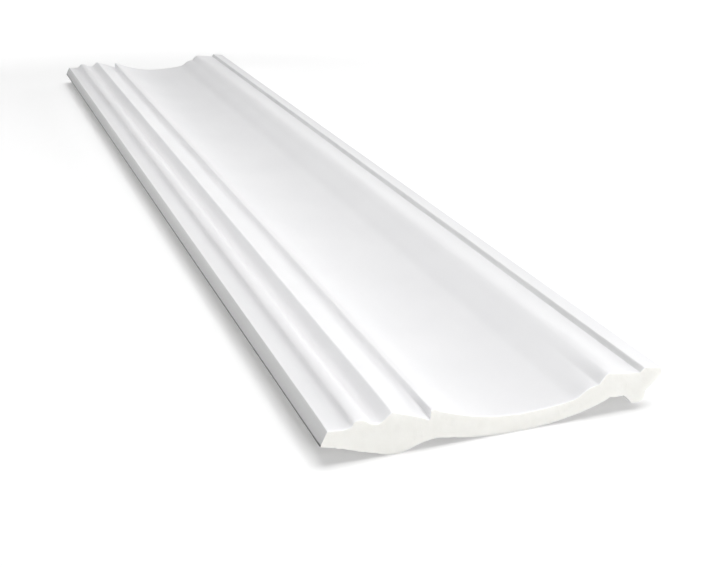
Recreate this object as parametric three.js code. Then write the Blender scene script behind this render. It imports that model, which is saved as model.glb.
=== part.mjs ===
// A length of foam cornice moulding, lying on its back with the decorated face up.
// Millimetres, +Z up. X runs across the face from the thick beaded edge to the thin lip,
// Y runs along the piece, and the origin is under the middle of the piece, on the floor.

import * as THREE from 'three';

// The piece as a whole. Every profile point is [across from the thick edge, height].
const LENGTH = 750;
const WIDTH = 150;
const CURVE_STEPS = 14;

// Thick edge: a leaning face, then a narrow flat fillet
const EDGE_BOTTOM = 8.8;
const EDGE_TOP = 15.2;
const EDGE_LEAN = 3;
const FILLET_END = [8.6, 14.5];

// Hollow quarter curve up to the bead, and the bead that rolls off into a valley
const CAVETTO_CORNER = [12.4, 14.3];
const BEAD_NOSE = [13.2, 16.7];
const BEAD_SHOULDER = [13.6, 17.5];
const BEAD_CREST = [15.6, 17.5];
const BEAD_RUN_OUT = [20, 17.5];
const VALLEY_RUN_IN = [19.4, 14.9];
const VALLEY = [23.4, 14.9];

// Riser out of the valley, and the broad strip that slopes down to the cove's step
const RISER_CORNER = [25.3, 14.9];
const STRIP_HIGH = [29.1, 18.5];
const STRIP_LOW = [45.1, 12.4];
const STRIP_SWELL = 0.5;

// A narrow crest along the step, then the cove: two parabolas that meet at its deepest line
const CREST_LEFT = [45.4, 16.7];
const CREST_RIGHT = [47.2, 16.6];
const COVE_START = [48.8, 15.65];
const COVE_DEEPEST = [85, 7.8];
const COVE_END = [107.5, 9.5];

// Ogee up from the cove to a small ledge, a soft riser, and the flat strip by the lip
const COVE_RUN_OUT = [113, 10.4];
const LEDGE_RUN_IN = [112.6, 14.2];
const LEDGE = [119.8, 14.6];
const SHOULDER_FOOT = [121.6, 16.7];
const SHOULDER_CORNER = [123, 18.9];
const SHOULDER_TOP = [124.4, 18.9];
const FLAT_END = [139.1, 16.9];

// Raised lip on the thin side
const LIP_START = [140.8, 18.9];
const LIP_END = [149.6, 17.7];
const LIP_BOTTOM = [150, 14];

// Back of the lip, and the small foot under it with its drip notch
const CHAMFER_END = [142.6, 7.9];
const HEEL_TOP = [142.3, 4.6];
const HEEL_BOTTOM = [140.6, 2.7];
const TOE = [136, 3.4];
const NOTCH_CORNER = [134.1, 6.6];
const NOTCH_TOP = [131.4, 7.2];
const HOLLOW_CREST = [125.8, 7.5];
const HOLLOW_RUN_OUT = [116, 3.4];

// Back of the cove: a belly that touches the floor, and the hollow between belly and foot
const BELLY_RUN_IN = [103, 0];
const BELLY = [82, 0];
const BELLY_RUN_OUT = [65.5, 0];
const BACK_CREST = [49.5, 3.6];
const CREST_RUN_OUT = [39.5, 3.6];
const FOOT_RUN_IN = [37, 0];
const FOOT_RIGHT = [31.6, 0];
const FOOT_LEFT = [29.2, 0];

// Serrated gluing face, from the foot up to the thick edge
const SERRATION_START = [27.3, 0.3];
const TOOTH_STEPS = 5;
const TOOTH_PITCH = 4.15;
const TOOTH_DEPTH = 0.5;
const TOOTH_STEP_RUN = 0.35;

const place = ([across, height]) => [across - WIDTH / 2, height];

function lineTo(shape, ...points) {
  for (const point of points) {
    shape.lineTo(...place(point));
  }
}

// A parabolic stretch; the control point is where the tangents at its two ends meet.
// An ogee has two of them: where it runs out of its start, and where it runs in to its end.
function curveTo(shape, control, end) {
  shape.quadraticCurveTo(...place(control), ...place(end));
}

function ogeeTo(shape, firstControl, secondControl, end) {
  shape.bezierCurveTo(...place(firstControl), ...place(secondControl), ...place(end));
}

function drawThickEdge(shape) {
  shape.moveTo(...place([0, EDGE_BOTTOM]));
  lineTo(shape, [EDGE_LEAN, EDGE_TOP], FILLET_END);
}

function drawBeadAndStrip(shape) {
  curveTo(shape, CAVETTO_CORNER, BEAD_NOSE);
  curveTo(shape, BEAD_SHOULDER, BEAD_CREST);
  ogeeTo(shape, BEAD_RUN_OUT, VALLEY_RUN_IN, VALLEY);
  curveTo(shape, RISER_CORNER, STRIP_HIGH);
  const middle = [(STRIP_HIGH[0] + STRIP_LOW[0]) / 2, (STRIP_HIGH[1] + STRIP_LOW[1]) / 2 + STRIP_SWELL];
  curveTo(shape, middle, STRIP_LOW);
}

function drawCove(shape) {
  lineTo(shape, CREST_LEFT, CREST_RIGHT, COVE_START);
  curveTo(shape, [(COVE_START[0] + COVE_DEEPEST[0]) / 2, COVE_DEEPEST[1]], COVE_DEEPEST);
  curveTo(shape, [(COVE_DEEPEST[0] + COVE_END[0]) / 2, COVE_DEEPEST[1]], COVE_END);
}

function drawShoulderAndLip(shape) {
  ogeeTo(shape, COVE_RUN_OUT, LEDGE_RUN_IN, LEDGE);
  lineTo(shape, SHOULDER_FOOT);
  curveTo(shape, SHOULDER_CORNER, SHOULDER_TOP);
  lineTo(shape, FLAT_END, LIP_START, LIP_END, LIP_BOTTOM);
}

function drawBack(shape) {
  lineTo(shape, CHAMFER_END, HEEL_TOP, HEEL_BOTTOM, TOE);
  curveTo(shape, NOTCH_CORNER, NOTCH_TOP);
  lineTo(shape, HOLLOW_CREST);
  ogeeTo(shape, HOLLOW_RUN_OUT, BELLY_RUN_IN, BELLY);
  curveTo(shape, BELLY_RUN_OUT, BACK_CREST);
  ogeeTo(shape, CREST_RUN_OUT, FOOT_RUN_IN, FOOT_RIGHT);
  lineTo(shape, FOOT_LEFT, SERRATION_START);
}

// Saw teeth: each one rises gently and ends in a short steep step
function drawSerratedFace(shape) {
  const rise = EDGE_BOTTOM - SERRATION_START[1] - TOOTH_STEPS * TOOTH_DEPTH;
  const run = SERRATION_START[0] - TOOTH_STEPS * TOOTH_STEP_RUN;
  const slope = rise / run;
  let [across, height] = SERRATION_START;
  for (let tooth = 0; tooth < TOOTH_STEPS; tooth++) {
    const landRun = TOOTH_PITCH - TOOTH_STEP_RUN;
    across -= landRun;
    height += landRun * slope;
    lineTo(shape, [across, height]);
    across -= TOOTH_STEP_RUN;
    height += TOOTH_DEPTH;
    lineTo(shape, [across, height]);
  }
}

function drawProfile() {
  const shape = new THREE.Shape();
  drawThickEdge(shape);
  drawBeadAndStrip(shape);
  drawCove(shape);
  drawShoulderAndLip(shape);
  drawBack(shape);
  drawSerratedFace(shape);
  shape.closePath();
  return shape;
}

function buildMoulding() {
  const geometry = new THREE.ExtrudeGeometry(drawProfile(), {
    depth: LENGTH,
    curveSegments: CURVE_STEPS,
    bevelEnabled: false,
  });
  geometry.rotateX(Math.PI / 2);
  geometry.translate(0, LENGTH / 2, 0);
  const whiteFoam = new THREE.MeshStandardMaterial({ color: 0xf4f4f2, roughness: 0.45, metalness: 0 });
  const mesh = new THREE.Mesh(geometry, whiteFoam);
  mesh.name = 'cornice_moulding';
  return mesh;
}

const group = new THREE.Group();
group.add(buildMoulding());

export default group;
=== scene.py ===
# A length of white foam cornice moulding, lying on a pale studio floor with its decorated face up.
# The moulding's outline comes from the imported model, so the looks follow the CAD. Sizes are in metres.

import math

import bpy
import numpy as np
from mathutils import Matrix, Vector
from mathutils.geometry import delaunay_2d_cdt


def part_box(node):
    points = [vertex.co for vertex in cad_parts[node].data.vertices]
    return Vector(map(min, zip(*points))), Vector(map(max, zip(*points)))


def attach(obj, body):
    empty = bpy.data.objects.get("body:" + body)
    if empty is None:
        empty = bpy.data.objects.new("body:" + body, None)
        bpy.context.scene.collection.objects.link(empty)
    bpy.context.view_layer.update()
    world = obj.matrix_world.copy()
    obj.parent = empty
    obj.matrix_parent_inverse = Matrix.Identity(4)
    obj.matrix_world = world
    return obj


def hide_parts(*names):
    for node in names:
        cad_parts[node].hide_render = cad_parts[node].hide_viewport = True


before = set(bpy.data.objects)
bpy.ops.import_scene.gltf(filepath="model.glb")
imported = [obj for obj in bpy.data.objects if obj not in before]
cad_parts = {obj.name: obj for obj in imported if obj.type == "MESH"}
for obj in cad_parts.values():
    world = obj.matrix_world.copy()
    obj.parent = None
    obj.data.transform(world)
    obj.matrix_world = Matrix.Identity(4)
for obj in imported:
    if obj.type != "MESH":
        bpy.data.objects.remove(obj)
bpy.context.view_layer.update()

MM = 0.001
SEED = 11

# Places across the face are measured from the thick edge, and heights from the floor
HALF_WIDTH = 75.0 * MM

# How finely the outline is read, and how far apart its points may be
FINE_STEP = 0.12 * MM
LONGEST_STEP = 1.7 * MM
TURN_PER_POINT = math.radians(7)
CROWD_BLUR = 4 * FINE_STEP
PLACE_DECIMALS = 7
SAME_PLACE = 10**-PLACE_DECIMALS
TINY = 1e-12

# The small rounds of the arrises: in the gluing face's teeth, and everywhere else
ROUND_CRISP = 0.14 * MM
ROUND_PLAIN = 0.34 * MM
TEETH_TOP = 9.0 * MM
TEETH_WIDTH = 28.5 * MM

# Along the length the coat softens some members: the place across, how far that reaches, how round it is.
# The run is how soon that sets in from a sawn end, and the power keeps the first millimetres crisp.
SOFT_MEMBERS = {
    "bead": (14.0 * MM, 2.4 * MM, 0.7 * MM),
    "step by the cove": (46.0 * MM, 4.8 * MM, 2.9 * MM),
    "ledge and shoulder": (118.5 * MM, 9.5 * MM, 3.7 * MM),
}
SOFT_RUN = 15.0 * MM
SOFT_POWER = 1.5
SHARE_BLUR = 0.8 * MM

# Next to the saw cut the members near the thick edge are pressed down: how far, how soon, how wide
PRESS_DEPTH = 0.5 * MM
PRESS_RUN = 5.0 * MM
PRESS_WIDTH = 46.0 * MM

# The decorated face runs from the top of the thick edge's side to the bottom of the lip
FACE_LEFT = (2.9 * MM, 15.2 * MM)
FACE_RIGHT = (150.0 * MM, 14.0 * MM)

# The thick edge's side: how far it leans in, where it starts, where the painted contact shadow on its
# bottom arris ends (full, then faded out), where its painted shade is lightest
SIDE_WIDTH = 3.2 * MM
SIDE_BOTTOM = 8.0 * MM
CONTACT_SHADOW_FULL = 9.5 * MM
CONTACT_SHADOW_END = 9.95 * MM
SIDE_TOP = 15.0 * MM

# The riser by the lip lies between these places, and the coat turns greyer towards the lip between the next
# two
GROOVE_START = 138.9 * MM
GROOVE_END = 141.0 * MM
LIP_GREY_START = 140.0 * MM
LIP_GREY_END = 149.0 * MM

# Material slots
COAT_SLOT, BACK_SLOT, SAWN_SLOT, SIDE_SLOT, GROOVE_SLOT = range(5)

# Sections along the length: close together at the sawn ends, then even
END_SECTIONS = (0.0, 0.15 * MM, 0.45 * MM, 1.0 * MM, 1.8 * MM, 3.2 * MM, 5.5 * MM, 9.0 * MM)
SECTION_STEP = 6.0 * MM

# Faces that meet at more than this angle show a sharp edge; inward directions are averaged over this reach
SHARP_ANGLE = math.radians(38)
NORMAL_REACH = 1.0 * MM

# Shallow waves of a moulded length: wavelength along it, and the turn across its width in radians
WAVES = ((0.41, 9.0), (0.23, -14.0), (0.097, 21.0))
WAVE_DEPTH = 0.1 * MM

# Small dents, a little longer than they are wide, then the chips and the small round on the sawn ends' rims
DENT_COUNT = 70
DENT_DEPTH = (0.05 * MM, 0.22 * MM)
DENT_REACH = (1.2 * MM, 3.5 * MM)
DENT_STRETCH = 1.6
CHIP_COUNT = 26
CHIP_DEPTH = (0.08 * MM, 0.3 * MM)
CHIP_REACH = (0.6 * MM, 1.7 * MM)
RIM_ROUND = 0.12 * MM

# Sawn end faces: a jittered grid of points, a grain of roughness and ripples, and torn pits
GRID_STEP = 0.85 * MM
GRID_JITTER = 0.3
GRID_MARGIN = 0.4 * MM
GRAIN_DEPTH = 0.07 * MM
ROUGH_SHARE = 0.6
RIPPLE_SHARE = 0.2
RIPPLE_LENGTHS = (6.1 * MM, 2.7 * MM)
PIT_COUNT = 150
PIT_DEPTH = (0.03 * MM, 0.14 * MM)
PIT_REACH = (0.5 * MM, 1.3 * MM)

# Colours, the darker one first where there are two
COAT_WHITES = ((0.873, 0.872, 0.884), (0.898, 0.897, 0.908))
LIP_GREY = (0.79, 0.789, 0.8)
BACK_WHITES = ((0.82, 0.815, 0.8), (0.87, 0.868, 0.86))
# The thick edge's side is coloured darker than the coat as painted shade
SIDE_SHADE_LIGHTER = ((0.715, 0.715, 0.715), (0.775, 0.775, 0.775))
SIDE_SHADE_DARKER = (0.615, 0.615, 0.62)
# A painted contact shadow along the bottom arris of the thick edge's side
PAINTED_CONTACT_SHADOW = (0.12, 0.12, 0.125)
# The riser by the lip is coloured grey as painted shade
GROOVE_SHADE_GREYS = ((0.72, 0.722, 0.723), (0.8, 0.802, 0.803))
SAWN_WHITES = ((0.845, 0.839, 0.806), (0.873, 0.868, 0.837))
FLOOR_WHITES = ((0.92, 0.92, 0.92), (0.93, 0.93, 0.93))

# How far light travels inside the foam
FOAM_DEPTH = 1.5 * MM

# The middle of a noise texture's values, where most of its contrast lies
NOISE_LOW = 0.3
NOISE_HIGH = 0.7

# Camera, found from the photograph's perspective
LENS_MM = 58.33
SENSOR_MM = 36.0
CAMERA_PLACE = (-0.19465, -0.74428, 0.22746)
CAMERA_PITCH_DEG = 21.44
CAMERA_TURN_DEG = -20.31
NEAREST_SEEN = 0.01
FARTHEST_SEEN = 200

# Studio floor, which glows more from one distance from the piece to the next
FLOOR_HALF = 60.0
GLOW_NEAR = 0.12
GLOW_FAR = 1.0
GLOW_START = 0.45
GLOW_END = 1.15

# The studio wall is bright up to the first height above the horizon and dark above the second.
# Both are sines of the angle.
WALL_BRIGHT = 0.08
WALL_DARK = 0.15

# Each soft box: its bearing from the piece (0 right, -90 front), its height angle, distance, size, watts
LIGHT_TARGET = Vector((0, -0.2, 0))
SOFT_BOXES = {
    "overhead": (0, 88, 1.8, 1.5, 24.0),
    "high_right": (0, 60, 1.8, 1.2, 7.7),
    "high_left": (180, 60, 2.0, 1.2, 6.2),
    "low_right_back": (35, 10, 2.0, 0.6, 8.8),
    "low_right_front": (-40, 12, 2.0, 0.6, 7.4),
    "low_front": (-80, 20, 2.0, 0.9, 8.0),
}


def end_outline(node):
    """The CAD profile in order, as (across, height) pairs."""
    mesh = node.data
    near = min(v.co.y for v in mesh.vertices)
    corners = {
        v.index: (round(v.co.x, PLACE_DECIMALS), round(v.co.z, PLACE_DECIMALS))
        for v in mesh.vertices
        if v.co.y < near + FINE_STEP
    }
    following = set()
    for face in mesh.polygons:
        if all(i in corners for i in face.vertices):
            ring = [corners[i] for i in face.vertices]
            following.update(zip(ring, ring[1:] + ring[:1]))
    # An edge with no twin running the other way is on the outline
    after = {start: end for start, end in following if (end, start) not in following}
    first = min(after)
    outline = [first]
    while after[outline[-1]] != first:
        outline.append(after[outline[-1]])
    points = np.array(outline)
    points[:, 0] -= points[:, 0].min()
    return points


def closed_loop(points):
    """The points, with the first one again at the end."""
    return np.vstack([points, points[:1]])


def even_points(outline):
    """Points on the closed outline, about one fine step apart."""
    closed = closed_loop(outline)
    lengths = np.hypot(*np.diff(closed, axis=0).T)
    along = np.concatenate([[0.0], np.cumsum(lengths)])
    spots = np.linspace(0.0, along[-1], int(along[-1] / FINE_STEP), endpoint=False)
    return np.column_stack([np.interp(spots, along, closed[:, axis]) for axis in (0, 1)])


def blurred(values, reach):
    """The loop's values, a row for each fine point, averaged with their neighbours over that reach."""
    count = len(values)
    offsets = np.minimum(np.arange(count), count - np.arange(count)) * FINE_STEP
    bell = np.exp(-0.5 * (offsets / reach) ** 2)
    bell /= bell.sum()
    spectrum = np.fft.fft(bell)[:, None]
    return np.real(np.fft.ifft(np.fft.fft(values, axis=0) * spectrum, axis=0))


def soft_share(share):
    """A share between 0 and 1 for each fine point, with soft ends."""
    return blurred(share[:, None], SHARE_BLUR)


def cut_outline(fine):
    """The outline as the saw shows it: small even rounds, and crisp teeth."""
    across, height = fine.T
    crisp = blurred(fine, ROUND_CRISP)
    plain = blurred(fine, ROUND_PLAIN)
    in_teeth = (across < TEETH_WIDTH) & (height < TEETH_TOP)
    return plain + (crisp - plain) * soft_share(in_teeth)


def coated_outline(fine, cut):
    """The outline along the length, where the coat has softened some members of the decorated face."""
    across, height = fine.T
    coated = cut.copy()
    for place, reach, softness in SOFT_MEMBERS.values():
        # The fourth power keeps the share full over most of the reach
        share = np.exp(-(((across - place) / reach) ** 4)) * (height > TEETH_TOP)
        coated += (blurred(fine, softness) - cut) * soft_share(share)
    return coated


def rise_from_press(fine):
    """How much higher each point lies where the saw hasn't pressed it down."""
    across, height = fine.T
    pressed = (across < PRESS_WIDTH) & (height > TEETH_TOP)
    return PRESS_DEPTH * soft_share(pressed) * np.array([[0.0, 1.0]])


def turning(points):
    """How much a closed loop turns at each point, in radians."""
    ahead = np.roll(points, -1, axis=0) - points
    heading = np.arctan2(ahead[:, 1], ahead[:, 0])
    return np.abs((heading - np.roll(heading, 1) + math.pi) % (2 * math.pi) - math.pi)


def chosen_spots(points):
    """Where to keep points: close together where the outline turns, apart where it runs straight."""
    crowd = np.maximum(FINE_STEP / LONGEST_STEP, turning(points) / TURN_PER_POINT)
    crowd = blurred(crowd[:, None], CROWD_BLUR)[:, 0]
    crowd = np.minimum(crowd, 1.0)
    total = np.concatenate([[0.0], np.cumsum(crowd)])
    wanted = np.linspace(0.0, total[-1], int(total[-1]), endpoint=False)
    return np.interp(wanted, total, np.arange(len(points) + 1))


def at_spots(points, spots):
    """The closed loop's points at those spots, which count points and parts of points."""
    closed = closed_loop(points)
    index = np.arange(len(closed))
    return np.column_stack([np.interp(spots, index, closed[:, axis]) for axis in (0, 1)])


def sweep_rings(node):
    """Matching rings: the sawn outline, the softer one along the length, and the rise between them."""
    fine = even_points(end_outline(node))
    cut = cut_outline(fine)
    coated = coated_outline(fine, cut)
    spots = chosen_spots(cut)
    return at_spots(cut, spots), at_spots(coated, spots), at_spots(rise_from_press(fine), spots)


def inward_normals(ring):
    """Unit vectors into the section from each point of its ring, turning gently round its arrises."""
    ahead = np.roll(ring, -1, axis=0) - ring
    lengths = np.hypot(*ahead.T)
    along = np.concatenate([[0.0], np.cumsum(lengths)[:-1]])
    gap = np.abs(along[:, None] - along[None])
    gap = np.minimum(gap, lengths.sum() - gap)
    weight = np.exp(-0.5 * (gap / NORMAL_REACH) ** 2)
    # Each edge counts by its length, because the edge vectors aren't unit vectors
    normal = weight @ np.column_stack([-ahead[:, 1], ahead[:, 0]])
    return normal / np.hypot(*normal.T)[:, None]


def section_places(low, high):
    """Where the sections stand along the length."""
    inner_low = low + END_SECTIONS[-1]
    inner_high = high - END_SECTIONS[-1]
    count = int((inner_high - inner_low) / SECTION_STEP)
    middle = np.linspace(inner_low, inner_high, count + 1)[1:-1]
    near = low + np.array(END_SECTIONS)
    far = high - np.array(END_SECTIONS[::-1])
    return np.concatenate([near, middle, far])


def random_sizes(rng, reach_limits, depth_limits, count):
    """Seeded reaches and depths, spread evenly between their limits."""
    reaches = rng.uniform(*reach_limits, count)
    depths = rng.uniform(*depth_limits, count)
    return zip(reaches, depths)


def sinking(ring, places, low, high, rng):
    """How far each point of each section lies below the true face: waves, dents and chipped rims."""
    across = ring[None, :, 0]
    height = ring[None, :, 1]
    along = places[:, None]
    depth = np.zeros((len(places), len(ring)))

    for wavelength, lean in WAVES:
        phase = rng.uniform(0, 2 * math.pi)
        wave = np.sin(2 * math.pi * along / wavelength + lean * across / (2 * HALF_WIDTH) + phase)
        depth += WAVE_DEPTH * (1 + wave) / (2 * len(WAVES))

    spots = rng.integers(0, len(ring), DENT_COUNT)
    where = rng.uniform(low, high, DENT_COUNT)
    sizes = random_sizes(rng, DENT_REACH, DENT_DEPTH, DENT_COUNT)
    for spot, place, (reach, most) in zip(spots, where, sizes):
        aside = (across - ring[spot, 0]) ** 2 + (height - ring[spot, 1]) ** 2
        away = aside + ((along - place) / DENT_STRETCH) ** 2
        depth += most * np.exp(-away / reach**2)

    for end in (low, high):
        spots = rng.integers(0, len(ring), CHIP_COUNT)
        sizes = random_sizes(rng, CHIP_REACH, CHIP_DEPTH, CHIP_COUNT)
        for spot, (reach, most) in zip(spots, sizes):
            aside = (across - ring[spot, 0]) ** 2 + (height - ring[spot, 1]) ** 2
            away = aside + (along - end) ** 2
            depth += most * np.exp(-away / reach**2)
        depth += RIM_ROUND * np.exp(-np.abs(along - end) / RIM_ROUND)
    return depth


def inside(ring, spots):
    """Which spots are inside the ring, and at least the grid margin away from it."""
    start = ring
    end = np.roll(ring, -1, axis=0)
    edge = end - start
    offset = spots[:, None, :] - start[None]
    share = np.clip((offset * edge).sum(2) / (edge**2).sum(1), 0, 1)
    gap = np.hypot(*np.moveaxis(offset - share[:, :, None] * edge, 2, 0)).min(1)
    above = (start[:, 1] > spots[:, None, 1]) != (end[:, 1] > spots[:, None, 1])
    rise = np.where(edge[:, 1] == 0, TINY, edge[:, 1])
    crossing = start[:, 0] + (spots[:, None, 1] - start[:, 1]) * edge[:, 0] / rise
    crossings = (above & (spots[:, None, 0] < crossing)).sum(1)
    return (crossings % 2 == 1) & (gap > GRID_MARGIN)


def end_grid(ring, rng):
    """The sawn face as triangles over the ring's points and a jittered grid of points inside it."""
    low = ring.min(0)
    high = ring.max(0)
    columns = np.arange(low[0], high[0], GRID_STEP)
    rows = np.arange(low[1], high[1], GRID_STEP)
    grid = np.stack(np.meshgrid(columns, rows), 2).reshape(-1, 2)
    grid += rng.uniform(-GRID_JITTER, GRID_JITTER, grid.shape) * GRID_STEP
    grid = grid[inside(ring, grid)]
    points = [Vector(p) for p in np.vstack([ring, grid])]
    rim = list(range(len(ring)))
    _, _, faces, sources, _, _ = delaunay_2d_cdt(points, [], [rim], 1, SAME_PLACE)
    source = [found[0] for found in sources]
    return grid, [[source[i] for i in face] for face in faces]


def grain(grid, rng):
    """How deep each point of a sawn face lies: a coarse open grain with torn pits."""
    across, height = grid.T
    depth = GRAIN_DEPTH * rng.uniform(0, 1, len(grid)) * ROUGH_SHARE
    for wavelength in RIPPLE_LENGTHS:
        angle = rng.uniform(0, math.pi)
        phase = rng.uniform(0, 2 * math.pi)
        travel = across * math.cos(angle) + height * math.sin(angle)
        ripple = np.sin(2 * math.pi * travel / wavelength + phase)
        depth += GRAIN_DEPTH * RIPPLE_SHARE * (1 + ripple) / 2
    spots = grid[rng.integers(0, len(grid), PIT_COUNT)]
    sizes = random_sizes(rng, PIT_REACH, PIT_DEPTH, PIT_COUNT)
    for spot, (reach, most) in zip(spots, sizes):
        depth += most * np.exp(-(((grid - spot) ** 2).sum(1)) / reach**2)
    return depth


def nearest_index(ring, spot):
    """The ring's point that is closest to a spot."""
    return int(np.argmin(((ring - np.array(spot)) ** 2).sum(1)))


def skin_slots(ring):
    """Which material each stretch of the ring takes."""
    count = len(ring)
    face_right = nearest_index(ring, FACE_RIGHT)
    face_left = nearest_index(ring, FACE_LEFT)
    slots = []
    for i in range(count):
        across, height = (ring[i] + ring[(i + 1) % count]) / 2
        decorated = (i - face_right) % count < (face_left - face_right) % count
        if decorated:
            slots.append(GROOVE_SLOT if GROOVE_START < across < GROOVE_END else COAT_SLOT)
        else:
            slots.append(SIDE_SLOT if across < SIDE_WIDTH and height > SIDE_BOTTOM else BACK_SLOT)
    return slots


def swept_rings(ring, coated, rise, places, low, high):
    """The outline of each section: the sawn one at both ends, and the coated one between them."""
    from_end = np.minimum(places - low, high - places)
    softened = 1 - np.exp(-((from_end / SOFT_RUN) ** SOFT_POWER))
    unpressed = 1 - np.exp(-from_end / PRESS_RUN)
    softer = (coated - ring)[None] * softened[:, None, None]
    higher = rise[None] * unpressed[:, None, None]
    return ring[None] + softer + higher


def moulding_mesh(ring, coated, rise, low, high, left):
    """The whole moulding: a swept skin with small irregularities, and two sawn faces."""
    rng = np.random.default_rng(SEED)
    places = section_places(low, high)
    depth = sinking(ring, places, low, high, rng)
    skin = swept_rings(ring, coated, rise, places, low, high)
    skin += inward_normals(ring)[None] * depth[:, :, None]
    count = len(ring)
    vertices = np.zeros((len(places), count, 3))
    vertices[:, :, 0] = skin[:, :, 0] + left
    vertices[:, :, 1] = places[:, None]
    vertices[:, :, 2] = np.maximum(skin[:, :, 1], 0.0)
    points = [tuple(v) for v in vertices.reshape(-1, 3)]

    faces = []
    for section in range(len(places) - 1):
        a = section * count
        b = a + count
        for i in range(count):
            j = (i + 1) % count
            faces.append((a + i, a + j, b + j, b + i))
    slots = skin_slots(ring) * (len(places) - 1)

    for section, inward in ((0, 1), (len(places) - 1, -1)):
        grid, triangles = end_grid(skin[section], rng)
        start = len(points)
        for spot, sunk in zip(grid, grain(grid, rng)):
            points.append((spot[0] + left, places[section] + inward * sunk, spot[1]))
        for triangle in triangles:
            face = [section * count + i if i < count else start + i - count for i in triangle]
            faces.append(tuple(face[::inward]))
            slots.append(SAWN_SLOT)

    mesh = bpy.data.meshes.new("foam_moulding")
    mesh.from_pydata(points, [], faces)
    mesh.polygons.foreach_set("material_index", slots)
    mesh.shade_smooth()
    mesh.set_sharp_from_angle(angle=SHARP_ANGLE)
    mesh.validate()
    mesh.update()
    return mesh


class Shader:
    """A material's node tree around one Principled shader, with short calls to add to it."""

    def __init__(self, name):
        self.material = bpy.data.materials.new(name)
        self.material.use_nodes = True
        self.tree = self.material.node_tree
        self.main = self.tree.nodes["Principled BSDF"]
        self.place = self.add("ShaderNodeTexCoord").outputs["Object"]

    def add(self, kind, **settings):
        node = self.tree.nodes.new(kind)
        for name, value in settings.items():
            setattr(node, name, value)
        return node

    def link(self, output, target):
        self.tree.links.new(output, target)

    def vary(self, name, output):
        """Let a node's output set one of the Principled shader's sockets."""
        self.link(output, self.main.inputs[name])

    def fix(self, name, value):
        """Give one of the Principled shader's sockets a value that is the same all over."""
        self.main.inputs[name].default_value = value

    def noise(self, scale, detail=3.0, stretch=(1, 1, 1)):
        mapping = self.add("ShaderNodeMapping")
        mapping.inputs["Scale"].default_value = stretch
        self.link(self.place, mapping.inputs["Vector"])
        node = self.add("ShaderNodeTexNoise")
        node.inputs["Scale"].default_value = scale
        node.inputs["Detail"].default_value = detail
        self.link(mapping.outputs["Vector"], node.inputs["Vector"])
        return node.outputs["Fac"]

    def cells(self, scale):
        node = self.add("ShaderNodeTexVoronoi", feature="SMOOTH_F1")
        node.inputs["Scale"].default_value = scale
        self.link(self.place, node.inputs["Vector"])
        return node.outputs["Distance"]

    def coordinate(self, axis):
        """How far along one axis a point lies from the origin."""
        node = self.add("ShaderNodeSeparateXYZ")
        self.link(self.place, node.inputs[0])
        return node.outputs[axis]

    def distance(self):
        """How far a point lies from the origin."""
        node = self.add("ShaderNodeVectorMath", operation="LENGTH")
        self.link(self.place, node.inputs[0])
        return node.outputs["Value"]

    def spread(self, value, low, high, start=NOISE_LOW, end=NOISE_HIGH):
        """A value that goes from low to high while another goes from start to end."""
        node = self.add("ShaderNodeMapRange")
        node.inputs["From Min"].default_value = start
        node.inputs["From Max"].default_value = end
        node.inputs["To Min"].default_value = low
        node.inputs["To Max"].default_value = high
        self.link(value, node.inputs["Value"])
        return node.outputs["Result"]

    def mix(self, share, *colours):
        """A mix of two colours, each of them plain or another node's output."""
        node = self.add("ShaderNodeMix", data_type="RGBA")
        self.link(share, node.inputs["Factor"])
        for name, colour in zip(("A", "B"), colours):
            if isinstance(colour, tuple):
                node.inputs[name].default_value = (*colour, 1)
            else:
                self.link(colour, node.inputs[name])
        return node.outputs["Result"]

    def bump(self, height, depth, below=None):
        node = self.add("ShaderNodeBump")
        node.inputs["Strength"].default_value = 1.0
        node.inputs["Distance"].default_value = depth
        self.link(height, node.inputs["Height"])
        if below is not None:
            self.link(below, node.inputs["Normal"])
        return node.outputs["Normal"]

    def let_light_through(self):
        """Light comes out of the foam a little way from where it went in, so thin forms stay pale."""
        self.fix("Subsurface Weight", 1.0)
        self.fix("Subsurface Radius", (1, 1, 1))
        self.fix("Subsurface Scale", FOAM_DEPTH)


def coated_face():
    """Smooth satin white coat, with a faint orange peel and streaks along the length."""
    s = Shader("white_coat")
    streaks = s.noise(scale=260, detail=2.0, stretch=(1, 0.02, 1))
    clouds = s.noise(scale=22)
    peel = s.noise(scale=620, detail=2.0)
    coat_tone = s.mix(s.spread(clouds, 0, 1), *COAT_WHITES)
    # The coat's colour turns greyer across the lip
    lip_grey_from = LIP_GREY_START - HALF_WIDTH
    lip_grey_to = LIP_GREY_END - HALF_WIDTH
    lip_greyness = s.spread(s.coordinate("X"), 0, 1, lip_grey_from, lip_grey_to)
    s.vary("Base Color", s.mix(lip_greyness, coat_tone, LIP_GREY))
    s.vary("Roughness", s.spread(streaks, low=0.4, high=0.52))
    lines = s.bump(streaks, depth=0.02 * MM)
    s.vary("Normal", s.bump(peel, depth=0.03 * MM, below=lines))
    s.let_light_through()
    return s.material


def bare_skin():
    """The back: the foam's own matt skin, a little warmer and rougher than the coat."""
    s = Shader("bare_foam_skin")
    clouds = s.noise(scale=35, detail=4.0)
    skin = s.noise(scale=900)
    s.vary("Base Color", s.mix(s.spread(clouds, 0, 1), *BACK_WHITES))
    s.vary("Roughness", s.spread(clouds, low=0.62, high=0.78))
    s.vary("Normal", s.bump(skin, depth=0.06 * MM))
    s.let_light_through()
    return s.material


def sawn_foam():
    """Open foam grain on the sawn ends, dull and faintly mottled."""
    s = Shader("sawn_foam")
    mottle = s.noise(scale=160, detail=4.0)
    cell = s.cells(scale=1700)
    s.vary("Base Color", s.mix(s.spread(mottle, 0, 1), *SAWN_WHITES))
    s.fix("Roughness", 0.92)
    s.fix("Specular IOR Level", 0.25)
    coarse = s.bump(mottle, depth=0.06 * MM)
    s.vary("Normal", s.bump(cell, depth=0.05 * MM, below=coarse))
    s.let_light_through()
    return s.material


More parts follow.
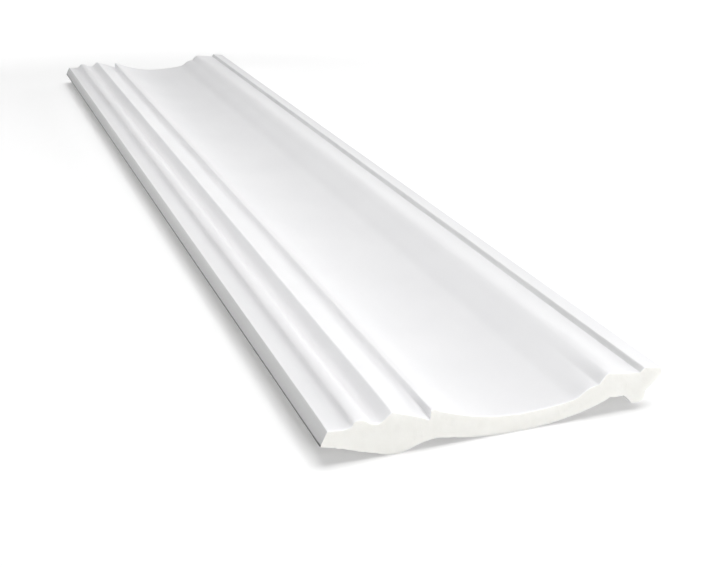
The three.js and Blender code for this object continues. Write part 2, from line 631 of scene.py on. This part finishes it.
def shaded_side():
    """The thick edge's side: painted shade, grey and lighter towards the top, with a painted contact shadow
    on its bottom arris.
    """
    s = Shader("foam_edge_painted_shade")
    streaks = s.noise(scale=200, stretch=(1, 0.05, 1))
    skin = s.noise(scale=700)
    pale = s.mix(s.spread(streaks, 0, 1), *SIDE_SHADE_LIGHTER)
    # Painted shade: darker towards the bottom of the side
    upward_shade_fade = s.spread(s.coordinate("Z"), 0, 1, CONTACT_SHADOW_END, SIDE_TOP)
    side_painted_shade = s.mix(upward_shade_fade, SIDE_SHADE_DARKER, pale)
    # Painted contact shadow along the bottom arris
    above_contact_shadow = s.spread(s.coordinate("Z"), 0, 1, CONTACT_SHADOW_FULL, CONTACT_SHADOW_END)
    s.vary("Base Color", s.mix(above_contact_shadow, PAINTED_CONTACT_SHADOW, side_painted_shade))
    s.fix("Roughness", 0.7)
    s.vary("Normal", s.bump(skin, depth=0.06 * MM))
    return s.material


def groove_painted_shade():
    """The narrow riser by the lip: grey painted shade, streaked along the length."""
    s = Shader("groove_painted_shade")
    shade_streaks = s.noise(scale=300, stretch=(1, 0.06, 1))
    s.vary("Base Color", s.mix(s.spread(shade_streaks, 0, 1), *GROOVE_SHADE_GREYS))
    s.fix("Roughness", 0.6)
    return s.material


def make_moulding():
    """The piece that stands for the CAD moulding."""
    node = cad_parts["cornice_moulding"]
    low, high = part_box("cornice_moulding")
    ring, coated, rise = sweep_rings(node)
    mesh = moulding_mesh(ring, coated, rise, low.y, high.y, low.x)
    # In the order of the material slots
    for material in (coated_face(), bare_skin(), sawn_foam(), shaded_side(), groove_painted_shade()):
        mesh.materials.append(material)
    piece = bpy.data.objects.new("foam_cornice_moulding", mesh)
    bpy.context.scene.collection.objects.link(piece)
    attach(piece, "root")
    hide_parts("cornice_moulding")


def make_floor():
    """A white studio floor, which glows faintly near the piece and brighter farther away."""
    mesh = bpy.data.meshes.new("studio_floor")
    corners = [(-1, -1), (1, -1), (1, 1), (-1, 1)]
    mesh.from_pydata([(x * FLOOR_HALF, y * FLOOR_HALF, 0) for x, y in corners], [], [(0, 1, 2, 3)])
    s = Shader("studio_white")
    s.vary("Base Color", s.mix(s.noise(scale=3.0), *FLOOR_WHITES))
    s.fix("Roughness", 0.9)
    s.fix("Specular IOR Level", 0.0)
    s.fix("Emission Color", (1, 1, 1, 1))
    s.vary("Emission Strength", s.spread(s.distance(), GLOW_NEAR, GLOW_FAR, GLOW_START, GLOW_END))
    mesh.materials.append(s.material)
    floor = bpy.data.objects.new("studio_floor", mesh)
    bpy.context.scene.collection.objects.link(floor)


def make_camera():
    """The photograph's viewpoint."""
    data = bpy.data.cameras.new("camera")
    data.lens = LENS_MM
    data.sensor_width = SENSOR_MM
    data.clip_start = NEAREST_SEEN
    data.clip_end = FARTHEST_SEEN
    camera = bpy.data.objects.new("camera", data)
    camera.location = CAMERA_PLACE
    camera.rotation_euler = (math.radians(90 - CAMERA_PITCH_DEG), 0, math.radians(CAMERA_TURN_DEG))
    bpy.context.scene.collection.objects.link(camera)
    bpy.context.scene.camera = camera


def make_wall():
    """The studio round the floor: a bright band above the horizon, and darkness above it."""
    world = bpy.data.worlds.new("studio_wall")
    world.use_nodes = True
    tree = world.node_tree
    background = tree.nodes["Background"]
    background.inputs["Color"].default_value = (1, 1, 1, 1)
    direction = tree.nodes.new("ShaderNodeTexCoord")
    parts = tree.nodes.new("ShaderNodeSeparateXYZ")
    fade = tree.nodes.new("ShaderNodeMapRange")
    fade.inputs["From Min"].default_value = WALL_BRIGHT
    fade.inputs["From Max"].default_value = WALL_DARK
    fade.inputs["To Min"].default_value = 1.0
    fade.inputs["To Max"].default_value = 0.0
    tree.links.new(direction.outputs["Generated"], parts.inputs[0])
    tree.links.new(parts.outputs["Z"], fade.inputs["Value"])
    tree.links.new(fade.outputs["Result"], background.inputs["Strength"])
    bpy.context.scene.world = world


def add_soft_box(name, bearing, height_angle, distance, size, power):
    """A square area light that faces the near part of the piece."""
    data = bpy.data.lights.new(name, "AREA")
    data.shape = "SQUARE"
    data.size = size
    data.energy = power
    light = bpy.data.objects.new(name, data)
    turn = math.radians(bearing)
    lift = math.radians(height_angle)
    flat = math.cos(lift)
    away = Vector((flat * math.cos(turn), flat * math.sin(turn), math.sin(lift)))
    light.location = LIGHT_TARGET + away * distance
    light.rotation_euler = (-away).to_track_quat("-Z", "Y").to_euler()
    bpy.context.scene.collection.objects.link(light)


def make_lights():
    """A large overhead soft box, one high on each side, and low ones on the right and in front."""
    for name, settings in SOFT_BOXES.items():
        add_soft_box(name, *settings)


def set_display():
    """White stays white: the picture is shown without a film curve."""
    view = bpy.context.scene.view_settings
    view.view_transform = "Standard"
    view.look = "None"
    view.exposure = 0
    view.gamma = 1


make_moulding()
make_floor()
make_camera()
make_wall()
make_lights()
set_display()
